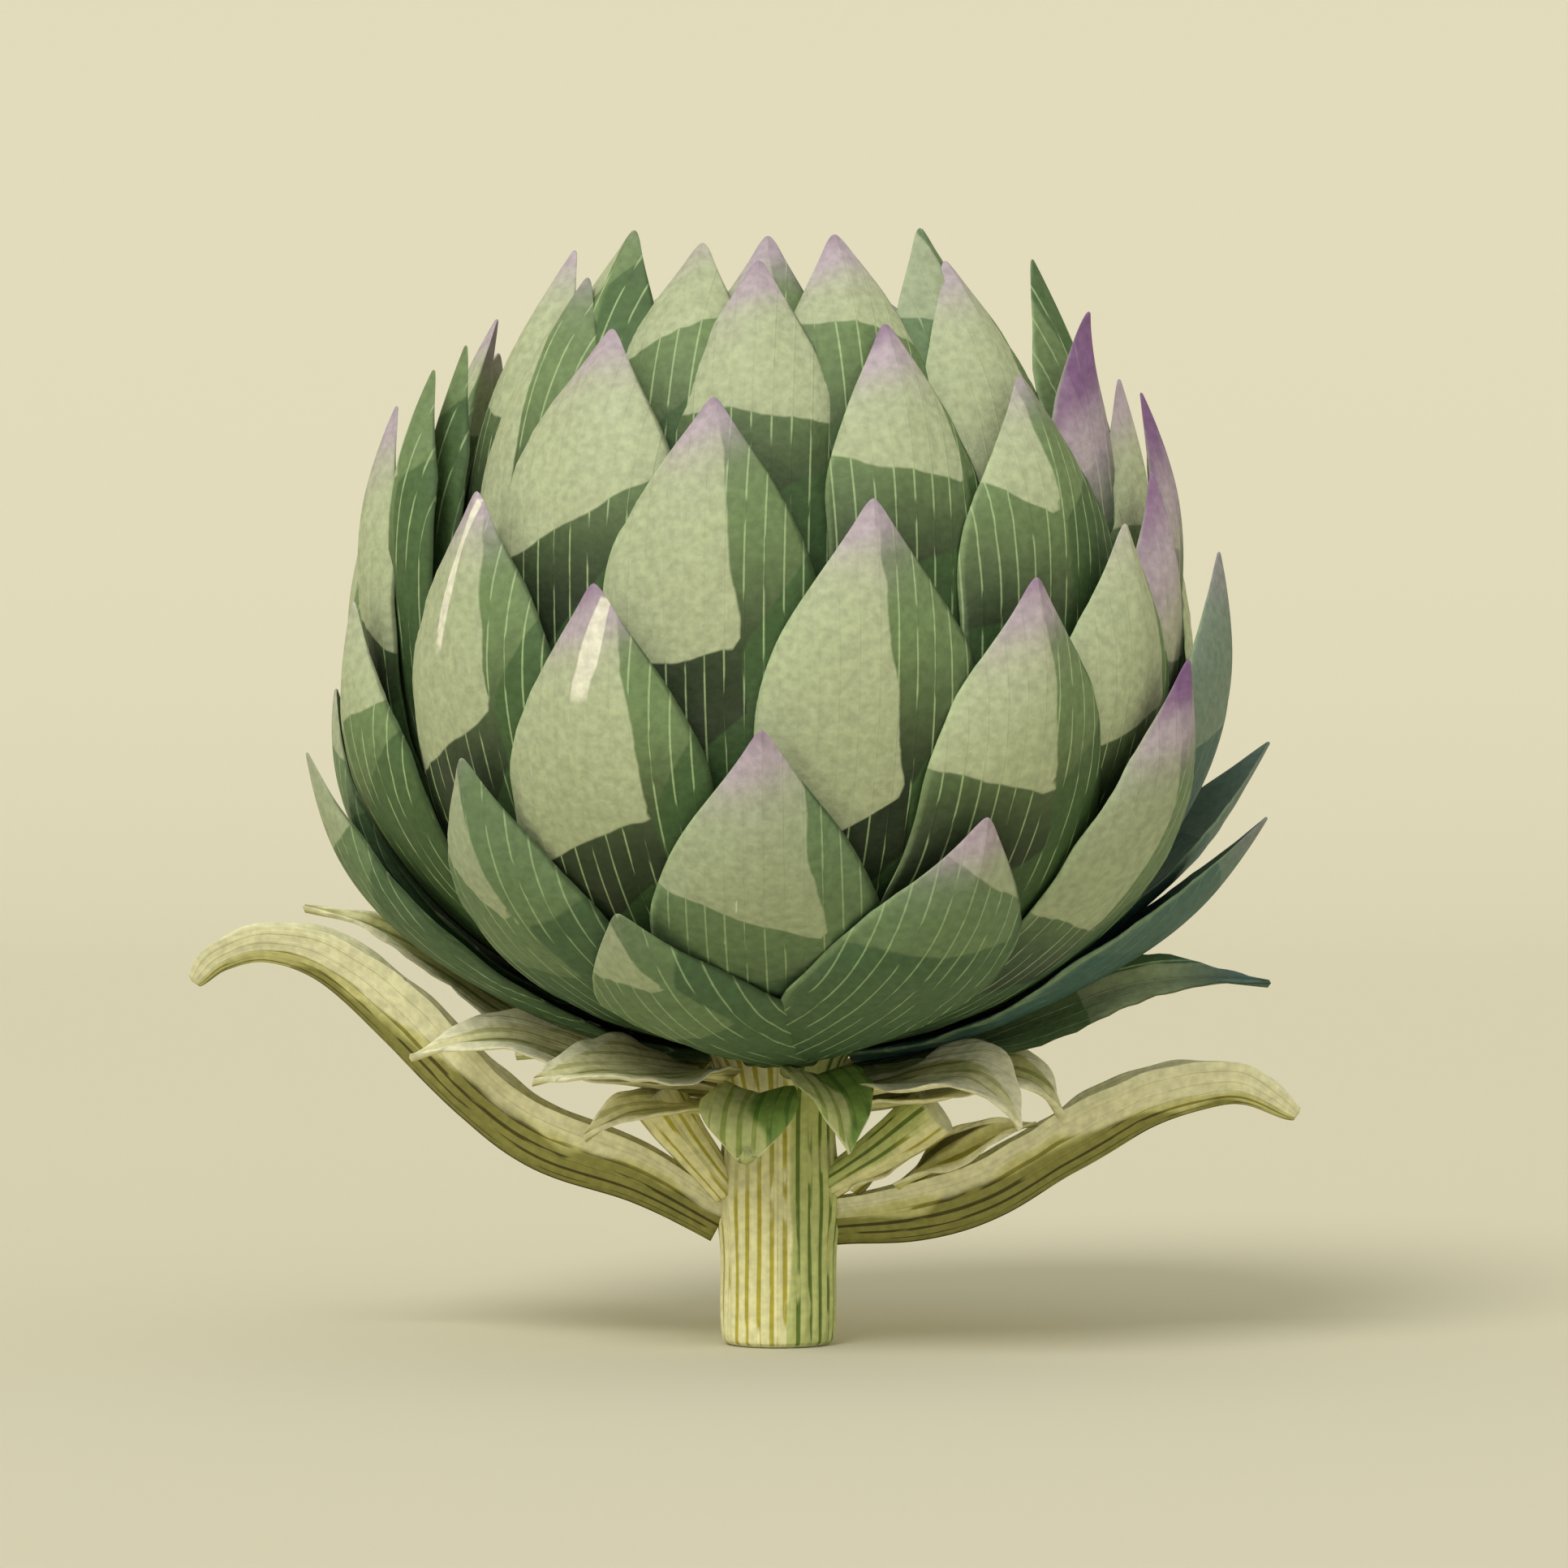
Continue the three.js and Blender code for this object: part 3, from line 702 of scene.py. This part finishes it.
def green_fields(x, d, u):
    """The bloom on the half towards the light, partly painted light, painted shade on the other half and dark
    painted margins, and the blue-green tip of the one collar leaf that is still green.
    """
    return {
        "bloom_and_light": np.minimum(2.0 - x, 24 - d),
        "shade": x - 1.5,
        "deep_shade": 0,
        "blush": 0,
        "tone": 0.85 * (1 - smooth(d, 3, 16)),
        "glint": NOWHERE,
        "rim": smooth(np.abs(u), 0.93, 1.0),
    }


def channel_leaf(name, azimuth, points, half_width, half_depth, seed):
    """A long leaf folded up along its midrib. Across it, with u from -1 to 1, the sheet lies at W u and is
    raised by F |u|^1.7, and it is thickest, M, at the midrib. Ribs of 0.15 mm run along its back."""
    shares = 1 - (1 - np.linspace(0, 1, 111)) ** 1.25
    line, length = resample(curve_through(points, 400), shares)
    s = shares[:, None]
    d = (1 - s) * length
    u, face = ring_across(30)
    swell = 0.55 + 0.45 * smooth(s, 0.0, 0.28)
    fade = np.sqrt(np.clip(1 - s**6, 0, 1)) * (1 - 0.22 * smooth(s, 0.55, 1))
    wide = half_width * swell * fade * (1 + 0.05 * wander(s * 9, seed))
    fold = 2 * half_depth * swell * fade * (1 + 0.07 * wander(s * 7, seed + 1))
    rib = 0.15 * np.cos(2 * math.pi * 5.5 * u) * (1 - smooth(s, 0.6, 0.85)) * (face > 0)
    thick = (0.9 + 2.6 * (1 - smooth(s, 0.0, 0.5))) * (1 - np.abs(u)) ** 0.8 + 0.9
    x = u * wide * (1 + 0.06 * wander(s * 14 + 2 * u, seed + 4))
    out = fold * (0.42 - np.abs(u) ** 1.6) + face * thick / 2 * np.sqrt(1 - np.clip(u, -1, 1) ** 4) + rib
    out = out + 0.35 * wander(s * 16 + u, seed + 5) * np.abs(u) ** 2 * smooth(s, 0.2, 0.5)
    rings = place(line, azimuth, x, out, 0.0)
    up = 2 * np.abs(u) ** 1.6 - 1
    # The side field is painted shade, strongest along the midrib low in the fold and near the stem.
    fields = {
        "side": np.clip(0.72 - 0.55 * up + 0.3 * wander(s * 8, seed + 2) - 0.6 * smooth(s, 0.3, 0.65), 0, 1),
        "dry": np.clip(0.30 + 0.55 * up + 0.9 * smooth(s, 0.45, 0.8) * (up + 0.75) + 0.4 * (face < 0), 0, 1),
        "pith": 0,
    }
    return leaf_skin(name, rings, (0.5 + u / 2, d), fields)


def cut_stalk(name, azimuth, points, half_width, half_depth, seed):
    """A short ribbed stalk that widens to a square cut. Its section is the oval (A cos p, B sin p), with
    ribs as cos(10 p) on its faces."""
    shares = np.linspace(0, 1, 30)
    line, length = resample(curve_through(points, 200), shares)
    s = shares[:, None]
    p = np.linspace(0, 2 * math.pi, 40, endpoint=False)[None]
    swell = 0.72 + 0.45 * smooth(s, 0, 1) + 0.03 * wander(s * 6, seed)
    x = half_width * swell * np.cos(p)
    out = -(half_depth * swell * np.sin(p) + 0.12 * np.cos(10 * p) * np.sin(p))
    rings = place(line, azimuth, x, out, 0.0)
    # The side field is painted shade on one side of the stalk.
    fields = {
        "side": np.clip(0.3 - 0.4 * np.cos(p + 0.6), 0, 1),
        "dry": 0,
        "pith": smooth(s, 0.985, 1.0),
    }
    uv = p / (2 * math.pi), (1 - s) * length
    return skin(name, rings, rings[-1].mean(axis=0), rings[0].mean(axis=0), uv, fields)


# ---------------------------------------------------------------- the add-on


class ArtichokeSizes(bpy.types.PropertyGroup):
    """Sizes that can be changed before the pieces are made."""

    bract_half_width: FloatProperty(
        name="Bract half width",
        description="Half of a bract's greatest width, in millimetres",
        default=13.2,
        min=5,
        max=16,
    )
    camera_height: FloatProperty(
        name="Camera elevation",
        description="How far the camera looks down",
        default=math.radians(2.5),
        subtype="ANGLE",
    )


class ArtichokeColours(bpy.types.PropertyGroup):
    """Colours of the studio."""

    backdrop: FloatVectorProperty(
        name="Backdrop",
        description="Colour of the floor and the backdrop",
        subtype="COLOR",
        size=3,
        default=linear("#d2cdb4")[:3],
        min=0,
        max=1,
    )


class ARTICHOKE_OT_stage(bpy.types.Operator):
    """Makes the pale sweep, the soft lights and the camera"""

    bl_idname = "artichoke.stage"
    bl_label = "Stage"

    def execute(self, context):
        scene = context.scene
        scene.view_settings.view_transform = "Standard"
        # A floor that turns up into a wall on a quarter circle.
        rows = 90
        t = np.linspace(0, 1, rows)[:, None]
        arc = np.clip((t - 0.4) / 0.25, 0, 1) * math.pi / 2
        y = -2.4 + 3.2 * np.clip(t / 0.4, 0, 1) + WALL_CURVE * np.sin(arc)
        z = WALL_CURVE * (1 - np.cos(arc)) + 3.0 * np.clip((t - 0.65) / 0.35, 0, 1)
        x = np.linspace(-4, 4, 2)[None]
        grid = np.stack([x + 0 * y, y + 0 * x, z + 0 * x], axis=2).reshape(-1, 3)
        i = np.arange(rows - 1) * 2
        faces = np.stack([i, i + 1, i + 3, i + 2], axis=1)
        mesh = bpy.data.meshes.new("sweep")
        mesh.from_pydata(grid.tolist(), [], faces.tolist())
        mesh.polygons.foreach_set("use_smooth", np.ones(len(faces), bool))
        sweep = bpy.data.objects.new("sweep", mesh)
        scene.collection.objects.link(sweep)
        # Matt cream paper, which has no gloss and looks equally pale from every side.
        material, _, shader = new_material("Matt cream paper")
        shader.inputs["Base Color"].default_value = [*scene.artichoke_colours.backdrop, 1]
        shader.inputs["Roughness"].default_value = 0.95
        shader.inputs["Specular IOR Level"].default_value = 0.1
        mesh.materials.append(material)

        world = bpy.data.worlds.new("studio")
        world.use_nodes = True
        world.node_tree.nodes["Background"].inputs[0].default_value = (1, 0.99, 0.96, 1)
        world.node_tree.nodes["Background"].inputs[1].default_value = SKY_STRENGTH
        scene.world = world
        # One large soft light from the upper left that makes the floor and the wall about equally bright.
        light = bpy.data.lights.new("key", "SUN")
        light.energy = SUN_STRENGTH
        light.angle = SUN_WIDTH
        lamp = bpy.data.objects.new("key", light)
        lamp.rotation_euler = Vector(SUN_DIRECTION).to_track_quat("-Z", "Y").to_euler()
        scene.collection.objects.link(lamp)

        camera = bpy.data.objects.new("camera", bpy.data.cameras.new("camera"))
        camera.data.lens = LENS_MM
        distance = VIEW_WIDTH * LENS_MM / SENSOR_MM
        tilt = scene.artichoke_sizes.camera_height
        aim = Vector(AIM)
        camera.location = aim + distance * Vector((0, -math.cos(tilt), math.sin(tilt)))
        camera.rotation_euler = (aim - camera.location).to_track_quat("-Z", "Y").to_euler()
        scene.collection.objects.link(camera)
        scene.camera = camera
        return {"FINISHED"}


class ARTICHOKE_OT_stem(bpy.types.Operator):
    """Makes the cut stem with the heart on top of it"""

    bl_idname = "artichoke.stem"
    bl_label = "Stem and heart"

    def execute(self, context):
        material = rib_skin("Artichoke stem skin, ribbed", STEM_COLOURS, STEM_RIBS, 0.6)
        finish(stem_and_heart(), material, "stem", "stem_and_heart")
        return {"FINISHED"}


class ARTICHOKE_OT_bracts(bpy.types.Operator):
    """Makes the outer bracts, each in the place of its solid, and the young bracts inside them"""

    bl_idname = "artichoke.bracts"
    bl_label = "Bracts"

    def execute(self, context):
        sizes = context.scene.artichoke_sizes
        material = bract_skin(BRACT_COLOURS)
        names = sorted(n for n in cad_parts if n.startswith("bract_"))
        for seed, name in enumerate(names):
            azimuth, radius, height = tip_of(name)
            layer = int(name.split("_")[1]) - 1
            flare = radius - layer_line(layer, height, 0)[-1, 0]
            look = look_of(name, seed, LOW_LOOK if layer < 2 else {})
            outer = name.replace("bract", "outer_bract")
            finish(bract(outer, azimuth, height, layer, flare, look, sizes), material, "bract", name)
        for i, (azimuth, height, layer, flare) in enumerate(YOUNG_BRACTS + heart_bracts(), 1):
            name = f"inner_bract_{i}"
            look = look_of(name, 100 + i, YOUNG_LOOK)
            if i > len(YOUNG_BRACTS):
                look |= HEART_LOOK
            finish(bract(name, azimuth, height, layer, flare, look, sizes), material, "bud", "inner_bud")
        return {"FINISHED"}


class ARTICHOKE_OT_collar(bpy.types.Operator):
    """Makes the small leaves below the head"""

    bl_idname = "artichoke.collar"
    bl_label = "Collar leaves"

    def execute(self, context):
        drying = rib_skin("Artichoke collar leaf, drying", COLLAR_COLOURS, 16, 0.7)
        young = rib_skin("Artichoke collar leaf, young", YOUNG_COLLAR_COLOURS, 16, 0.65)
        # The still-green leaf's pale patch of wax and painted light is a greener grey.
        green = bract_skin({**BRACT_COLOURS, "bloom_and_light": "#a3b183"})
        for i, (width, roll, dry) in enumerate(COLLAR_LEAVES, 1):
            azimuth, points = midline(f"collar_leaf_{i}")
            fields_of = green_fields if i == GREEN_LEAF else None
            material = green if i == GREEN_LEAF else young if i in YOUNG_LEAVES else drying
            piece = small_leaf(f"small_leaf_{i}", azimuth, points, width, roll, 40 + i, dry, fields_of)
            finish(piece, material, "collar", f"collar_leaf_{i}")
        return {"FINISHED"}


class ARTICHOKE_OT_long_leaves(bpy.types.Operator):
    """Makes the two long stem leaves and the two cut stalks"""

    bl_idname = "artichoke.long_leaves"
    bl_label = "Long leaves and cut stalks"

    def execute(self, context):
        skin_of_leaf = rib_skin("Artichoke leaf stalk, ribbed", LEAF_COLOURS, 11, 0.65)
        skin_of_stalk = rib_skin("Artichoke leaf stalk, young", STEM_COLOURS, 12, 0.6)
        for name, (azimuth, points, seed) in LONG_LEAVES.items():
            piece = channel_leaf(name.replace("stem", "long"), azimuth, points, 4.0, 3.2, seed)
            finish(piece, skin_of_leaf, "stem_leaf", name)
        for i, (points, width) in enumerate(LOBES, 1):
            lobe = small_leaf(f"right_leaf_lobe_{i}", 84, points, width, -58, 80 + i, 0.1)
            finish(lobe, skin_of_leaf, "stem_leaf", "right_stem_leaf")
        for name, (azimuth, points, seed) in CUT_STALKS.items():
            piece = cut_stalk(name.replace("cut", "short"), azimuth, points, 3.2, 2.9, seed)
            finish(piece, skin_of_stalk, "stem_leaf", name)
        return {"FINISHED"}


class ARTICHOKE_PT_panel(bpy.types.Panel):
    """Lists the artichoke's sizes and the operators that make its pieces"""

    bl_idname = "ARTICHOKE_PT_panel"
    bl_label = "Artichoke"
    bl_space_type = "VIEW_3D"
    bl_region_type = "UI"
    bl_category = "Artichoke"

    def draw(self, context):
        self.layout.prop(context.scene.artichoke_sizes, "bract_half_width")
        self.layout.prop(context.scene.artichoke_sizes, "camera_height")
        self.layout.prop(context.scene.artichoke_colours, "backdrop")
        for operator in OPERATORS:
            self.layout.operator(operator.bl_idname)


OPERATORS = (
    ARTICHOKE_OT_stage,
    ARTICHOKE_OT_stem,
    ARTICHOKE_OT_bracts,
    ARTICHOKE_OT_collar,
    ARTICHOKE_OT_long_leaves,
)
CLASSES = (ArtichokeSizes, ArtichokeColours, *OPERATORS, ARTICHOKE_PT_panel)


def register():
    for cls in CLASSES:
        bpy.utils.register_class(cls)
    bpy.types.Scene.artichoke_sizes = PointerProperty(type=ArtichokeSizes)
    bpy.types.Scene.artichoke_colours = PointerProperty(type=ArtichokeColours)


def unregister():
    del bpy.types.Scene.artichoke_sizes
    del bpy.types.Scene.artichoke_colours
    for cls in reversed(CLASSES):
        bpy.utils.unregister_class(cls)


def main():
    register()
    bpy.ops.artichoke.stage()
    bpy.ops.artichoke.stem()
    bpy.ops.artichoke.bracts()
    bpy.ops.artichoke.collar()
    bpy.ops.artichoke.long_leaves()
    bpy.context.view_layer.update()


if __name__ == "__main__":
    main()
